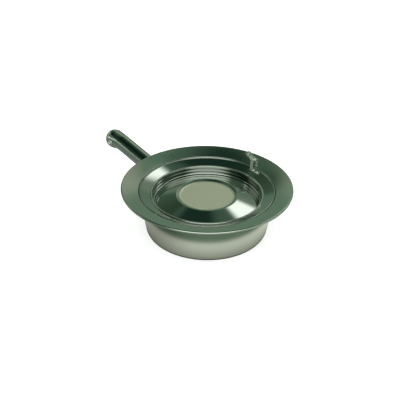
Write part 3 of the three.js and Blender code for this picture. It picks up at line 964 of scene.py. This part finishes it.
def make_painted_floor_reflection():
    """A hidden glowing card under the floor that the steel reflects in place of the floor. It is a painted
    reflection: painted shade at the foot, a bright ring, a painted dark ring, green beyond, and painted
    shade toward the left.
    """
    card = flat_disc("painted_reflection_card", PAINTED_REFLECTION_RADIUS, Matrix.Translation((0, 0, -1 * MM)))
    card.visible_camera = False
    card.visible_diffuse = False
    card.visible_shadow = False
    nodes = Nodes("painted_table_reflection")
    nodes.tree.nodes.remove(nodes.shader)
    x, y, _ = nodes.parts(nodes.add("ShaderNodeTexCoord").outputs["Object"])
    # Painted reflection by distance from the axis: painted shade right at the foot, a bright ring, then a
    # painted dark ring that shades the top of the bowl's wall, then dim green.
    ramp = color_ramp(nodes.tree, [
        (0.108, (0.09, 0.08, 0.07)),
        (0.114, (0.42, 0.47, 0.38)),
        (0.135, (0.80, 0.84, 0.72)),
        (0.150, (0.90, 0.94, 0.80)),
        (0.162, (0.15, 0.25, 0.16)),
        (0.20, (0.20, 0.28, 0.20)),
        (0.25, (0.50, 0.56, 0.50)),
        (0.40, (0.44, 0.50, 0.44)),
        (1.0, (0.22, 0.30, 0.22)),
    ])
    nodes.link(nodes.radius(x, y), ramp.inputs[0])
    # Painted shade: the reflection grows dimmer toward the picture's left.
    right = studio_direction(0, 0)
    sideways = nodes.math("ADD", nodes.math("MULTIPLY", x, right.x), nodes.math("MULTIPLY", y, right.y))
    glow = nodes.add("ShaderNodeEmission")
    nodes.link(ramp.outputs[0], glow.inputs["Color"])
    nodes.link(nodes.map_range(sideways, -0.14, -0.02, 0.56, 1.08, "SMOOTHSTEP"), glow.inputs["Strength"])
    nodes.link(glow.outputs[0], nodes.tree.nodes["Material Output"].inputs["Surface"])
    finish_with(card, nodes.material)


def make_key_panel():
    """The soft key light behind the pan, a tall panel that only the steel's reflections show."""
    heading = studio_direction(KEY_AZIMUTH, KEY_ELEVATION)
    sideways = heading.cross(Vector((0, 0, 1))).normalized()
    upward = sideways.cross(heading)
    middle = Vector((0, 0, DISH_RIM_HEIGHT)) + heading * KEY_DISTANCE
    turn = heading.to_track_quat("Z", "Y").to_matrix().to_4x4()
    panel = flat_disc("key_panel", KEY_PANEL_RADIUS, Matrix.Translation(middle) @ turn)
    panel.visible_camera = False
    panel.visible_diffuse = False
    panel.visible_shadow = False
    nodes = Nodes("key_light")
    nodes.tree.nodes.remove(nodes.shader)
    place = nodes.add("ShaderNodeTexCoord").outputs["Object"]
    shift = nodes.add("ShaderNodeVectorMath", operation="SUBTRACT")
    nodes.link(place, shift.inputs[0])
    shift.inputs[1].default_value = middle
    strength = None
    for direction, near, far in ((sideways, *KEY_HALF_WIDTH), (upward, *KEY_HALF_HEIGHT)):
        along = nodes.add("ShaderNodeVectorMath", operation="DOT_PRODUCT")
        nodes.link(shift.outputs["Vector"], along.inputs[0])
        along.inputs[1].default_value = direction
        distance = nodes.math("ABSOLUTE", along.outputs["Value"])
        share = nodes.map_range(distance, near, far, 1.0, 0.0, "SMOOTHSTEP")
        strength = share if strength is None else nodes.math("MULTIPLY", strength, share)
    glow = nodes.add("ShaderNodeEmission")
    glow.inputs["Color"].default_value = (*KEY_COLOR, 1)
    nodes.link(nodes.math("MULTIPLY", strength, KEY_STRENGTH), glow.inputs["Strength"])
    clear = nodes.add("ShaderNodeBsdfTransparent")
    both = nodes.add("ShaderNodeAddShader")
    nodes.link(glow.outputs[0], both.inputs[0])
    nodes.link(clear.outputs[0], both.inputs[1])
    nodes.link(both.outputs[0], nodes.tree.nodes["Material Output"].inputs["Surface"])
    finish_with(panel, nodes.material)


def color_ramp(tree, stops):
    ramp = tree.nodes.new("ShaderNodeValToRGB")
    elements = ramp.color_ramp.elements
    elements.remove(elements[1])
    for k, (position, color) in enumerate(stops):
        element = elements[0] if k == 0 else elements.new(position)
        element.position = position
        element.color = (*color, 1)
    return ramp


def add_soft_patch(tree, direction, below, azimuth, elevation, inner, outer, color, blend):
    """Adds a round patch to a sky colour, or multiplies by it, with a fade between two angles."""
    toward = tree.nodes.new("ShaderNodeVectorMath")
    toward.operation = "DOT_PRODUCT"
    toward.inputs[1].default_value = studio_direction(azimuth, elevation)
    tree.links.new(direction, toward.inputs[0])
    fade = tree.nodes.new("ShaderNodeMapRange")
    fade.interpolation_type = "SMOOTHSTEP"
    fade.inputs["From Min"].default_value = math.cos(math.radians(outer))
    fade.inputs["From Max"].default_value = math.cos(math.radians(inner))
    tree.links.new(toward.outputs["Value"], fade.inputs["Value"])
    add = tree.nodes.new("ShaderNodeMix")
    add.data_type = "RGBA"
    add.blend_type = blend
    tree.links.new(fade.outputs["Result"], add.inputs["Factor"])
    tree.links.new(below, add.inputs["A"])
    add.inputs["B"].default_value = (*color, 1)
    return add.outputs["Result"]


# Round patches that only the steel's reflections show, set until those matched the photo's.
# Azimuth, elevation, angle of full strength, angle where it ends, colour, how it joins the sky.
SKY_PATCHES = [
    # A bright window behind the camera, with the dark camera in it.
    (-90, 26, 30, 52, (1.5, 1.55, 1.43), "ADD"),
    (-90, 29, 9, 16, (-1.5, -1.5, -1.4), "ADD"),
    # Dark stretches of the room to the back left and the left.
    (124, 32, 14, 20, (0.45, 0.50, 0.45), "MULTIPLY"),
    (165, 42, 15, 32, (0.15, 0.22, 0.2), "MULTIPLY"),
    # Pale stretches to the back left and the right.
    (147, 25, 8, 20, (0.40, 0.42, 0.36), "ADD"),
    (-20, 12, 12, 34, (0.75, 0.75, 0.66), "ADD"),
    # A faint fill at the back.
    (70, 54, 6, 14, (0.08, 0.13, 0.09), "ADD"),
    (88, 33, 6, 16, (0.22, 0.19, 0.16), "ADD"),
    (75, 34, 4, 12, (0.12, 0.10, 0.09), "ADD"),
    # A narrow bright strip and a low glow at the left.
    (181, 17, 2, 7, (1.6, 1.65, 1.5), "ADD"),
    (166, 2, 8, 20, (0.42, 0.44, 0.40), "ADD"),
]


def make_world():
    """A dim green room, paler near the horizon and behind the camera; the camera itself sees white."""
    world = bpy.data.worlds.new("studio")
    world.use_nodes = True
    bpy.context.scene.world = world
    tree = world.node_tree
    tree.nodes.clear()
    direction = tree.nodes.new("ShaderNodeTexCoord").outputs["Generated"]
    parts = tree.nodes.new("ShaderNodeSeparateXYZ")
    tree.links.new(direction, parts.inputs[0])
    ramp = color_ramp(tree, [
        (0.0, (0.21, 0.325, 0.225)),
        (0.47, (0.21, 0.325, 0.225)),
        (0.62, (0.15, 0.24, 0.16)),
        (0.77, (0.10, 0.18, 0.12)),
        (0.82, (0.022, 0.055, 0.037)),
        (1.0, (0.018, 0.05, 0.035)),
    ])
    tree.links.new(parts.outputs[2], ramp.inputs[0])
    sky = ramp.outputs[0]
    for patch in SKY_PATCHES:
        sky = add_soft_patch(tree, direction, sky, *patch)
    room = tree.nodes.new("ShaderNodeBackground")
    tree.links.new(sky, room.inputs[0])
    white = tree.nodes.new("ShaderNodeBackground")
    white.inputs[0].default_value = (1, 1, 1, 1)
    path = tree.nodes.new("ShaderNodeLightPath")
    mix = tree.nodes.new("ShaderNodeMixShader")
    tree.links.new(path.outputs["Is Camera Ray"], mix.inputs[0])
    tree.links.new(room.outputs[0], mix.inputs[1])
    tree.links.new(white.outputs[0], mix.inputs[2])
    output = tree.nodes.new("ShaderNodeOutputWorld")
    tree.links.new(mix.outputs[0], output.inputs[0])


make_camera()
make_floor()
make_painted_floor_reflection()
make_key_panel()
make_overhead_panel()
make_world()
bpy.context.scene.view_settings.view_transform = "Standard"

# ---- assembly -------------------------------------------------------------------------------
bowl_steel = steel("bowl_satin", (0.50, 0.51, 0.48), (0.44, 0.455, 0.43), 0.20, anisotropy=0.3, marks=0.03)
ring_steel = steel(
    "flange_brushed", (0.45, 0.485, 0.45), (0.395, 0.43, 0.40), 0.15, anisotropy=0.2, marks=0.008)
lid_steel = steel(
    "lid_brushed", (0.41, 0.435, 0.41), (0.36, 0.385, 0.36), 0.10, marks=0.02, matt_and_painted_light_radius=49.5 * MM)
handle_steel = steel(
    "handle_polished", (0.50, 0.53, 0.50), (0.42, 0.45, 0.42), 0.12, grain="long", marks=0.04)
seam_steel = steel(
    "seam_polished", (0.74, 0.76, 0.72), (0.66, 0.68, 0.64), 0.22, grain="long", marks=0.04)
fitting_steel = steel(
    "fitting_bright", (0.88, 0.90, 0.86), (0.78, 0.80, 0.76), 0.40, grain="long", marks=0.04)
weld_steel = steel("weld_tinted", (0.42, 0.40, 0.35), (0.30, 0.29, 0.26), 0.38, grain="long", marks=0.3)

pieces = [
    (make_bowl(), "pan", "bowl_steel", bowl_steel, "bowl"),
    (make_seat_ring(), "pan", "ring_steel", ring_steel, "seat_ring"),
    (make_lid(), "lid", "lid_steel", lid_steel, "lid"),
    (make_handle_shell("handle_top_shell", 1), "pan", "handle_steel", handle_steel, "handle_upper_shell"),
    (make_under_shell(), "pan", "handle_steel", handle_steel, "handle_lower_shell"),
    (make_seam_bead(), "pan", "handle_steel", seam_steel, None),
    (make_eyelet(), "pan", "fitting_steel", fitting_steel, "handle_eyelet"),
    (make_root_plate(), "pan", "ring_steel", bowl_steel, "handle_root_plate"),
    (make_root_weld(), "pan", "ring_steel", weld_steel, None),
    (make_strap(), "lid", "fitting_steel", fitting_steel, "hinge_strap"),
    (make_bracket(), "pan", "fitting_steel", fitting_steel, "hinge_bracket"),
    (make_pin(), "pan", "fitting_steel", fitting_steel, "hinge_pin"),
]
for k, (radius, y) in enumerate(STRAP_RIVETS, 1):
    place = rivet_place(radius, y, lid_top, LID_SLOPE)
    rivet = make_rivet(f"lid_rivet_{k}", place, LID_SHEET, STRAP_RIVET_HEAD)
    pieces.append((rivet, "lid", "fitting_steel", fitting_steel, f"strap_rivet_{k}"))
for k, (radius, y) in enumerate(BRACKET_RIVETS, 1):
    place = rivet_place(radius, y, flange_top, FLANGE_SLOPE)
    rivet = make_rivet(f"flange_rivet_{k}", place, SHEET, BRACKET_RIVET_HEAD)
    pieces.append((rivet, "pan", "fitting_steel", fitting_steel, f"bracket_rivet_{k}"))

for piece, body, slot, material, node in pieces:
    finish_with(piece, material)
    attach(piece, body)
    if node:
        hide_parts(node)
